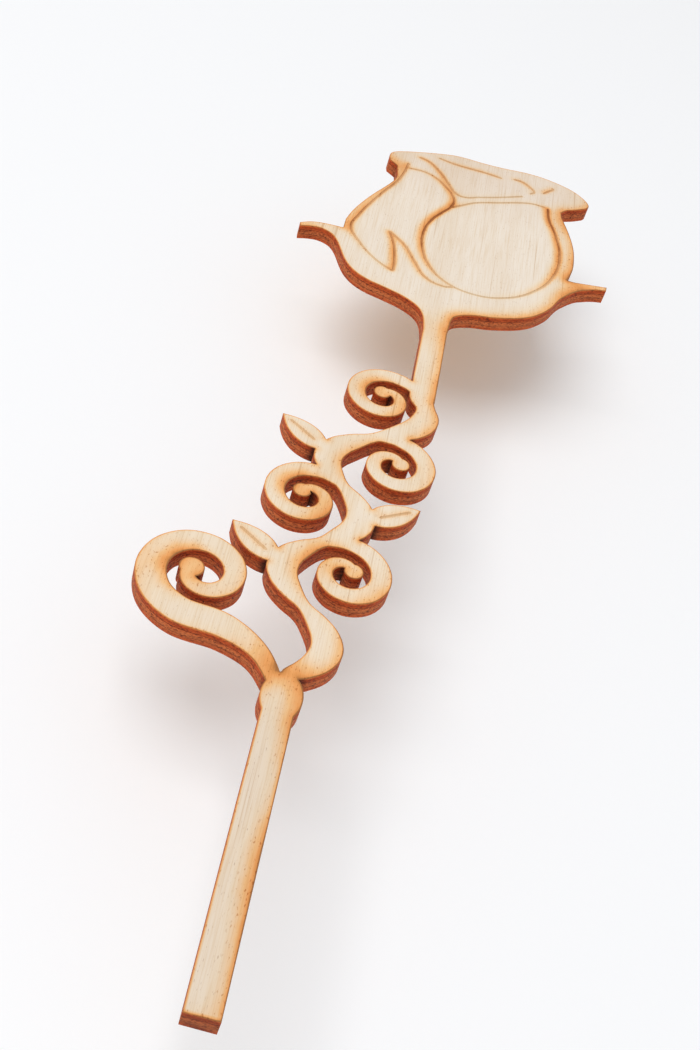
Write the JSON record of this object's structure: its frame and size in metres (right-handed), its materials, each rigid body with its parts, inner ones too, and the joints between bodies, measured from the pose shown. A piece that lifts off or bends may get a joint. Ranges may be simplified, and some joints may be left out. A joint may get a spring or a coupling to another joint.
{
  "type": "cake topper",
  "caption": "Flat laser-cut plywood cake topper: a straight pick, a vine scroll with curls and leaves, and an engraved rose with sepals on a stalk.",
  "frame": {"origin": "middle of the topper's plan box, on the plane of the back that it lies on", "axes": "+Y along the pick towards the rose, +Z out of the engraved face, +X to the right of the rose seen from the front"},
  "size_m": [0.0684, 0.209, 0.003],
  "materials": {
    "birch_face": "sanded birch veneer, laser-engraved lines, scorched along the cut edge",
    "birch_core": "birch veneer seen only on the laser-charred edge",
    "birch_back": "sanded birch veneer with heavier scorching along the cut edge",
    "glue_line": "cured resin glue, charred dark at the cut edge"
  },
  "bodies": {
    "root": {"face_veneer": "birch_face", "front_glue_line": "glue_line", "core_veneer": "birch_core", "back_glue_line": "glue_line", "back_veneer": "birch_back"}
  },
  "joints": []
}
